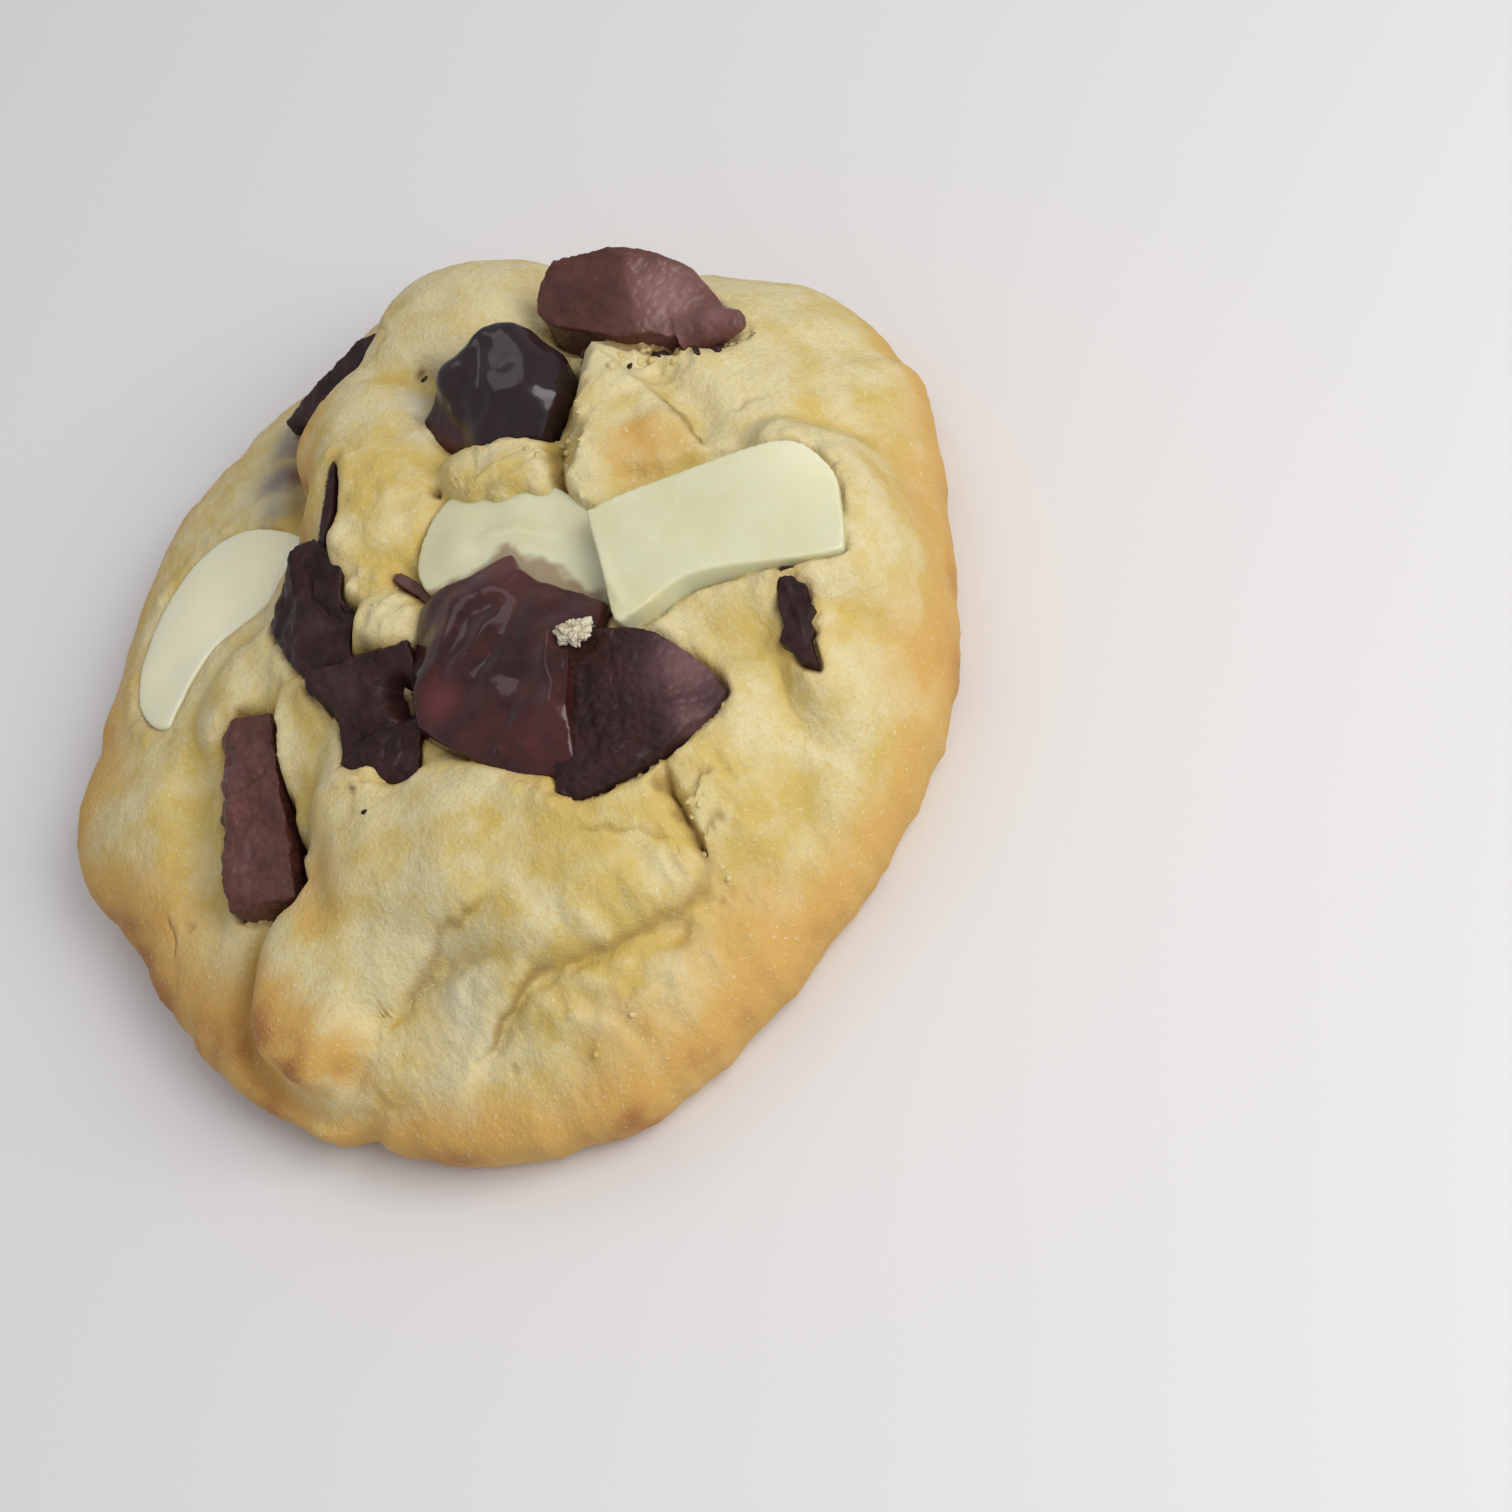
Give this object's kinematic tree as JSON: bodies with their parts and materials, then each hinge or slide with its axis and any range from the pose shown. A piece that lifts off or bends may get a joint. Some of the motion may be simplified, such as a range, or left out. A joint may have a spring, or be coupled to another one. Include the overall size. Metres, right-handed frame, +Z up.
{
  "type": "triple chocolate cookie",
  "caption": "Thick round drop cookie of pale baked dough with chunks of white, milk and dark chocolate pressed into its lumpy top; flat underside to rest on.",
  "frame": {"origin": "on the table under the middle of the cookie, at the centre of the flat underside's level", "axes": "+Z up out of the cookie's top; -Y towards the picture's viewer; +X to the right as that viewer sees it"},
  "size_m": [0.0818, 0.0835, 0.024],
  "materials": {
    "baked_dough": "matte, dry baked dough, pale yellow with browned lobes and rim",
    "milk_chocolate": "matte, broken milk chocolate with smooth moulded faces",
    "dark_chocolate": "matte, chopped dark chocolate with finely grooved faces",
    "melted_chocolate": "glossy, dark chocolate softened and set again",
    "white_chocolate": "satin, smooth white chocolate"
  },
  "bodies": {
    "root": {"dough": "baked_dough", "milk_chunk_top": "milk_chocolate", "milk_chunk_left": "milk_chocolate", "dark_chunk_centre": "dark_chocolate", "dark_chunk_lower_left": "dark_chocolate", "dark_chunk_left": "dark_chocolate", "dark_chunk_far": "dark_chocolate", "dark_splinter_right": "dark_chocolate", "dark_chunk_glossy": "melted_chocolate", "molten_chunk": "melted_chocolate", "white_slab": "white_chocolate", "white_chunk_centre": "white_chocolate", "white_slab_left": "white_chocolate"}
  },
  "joints": []
}
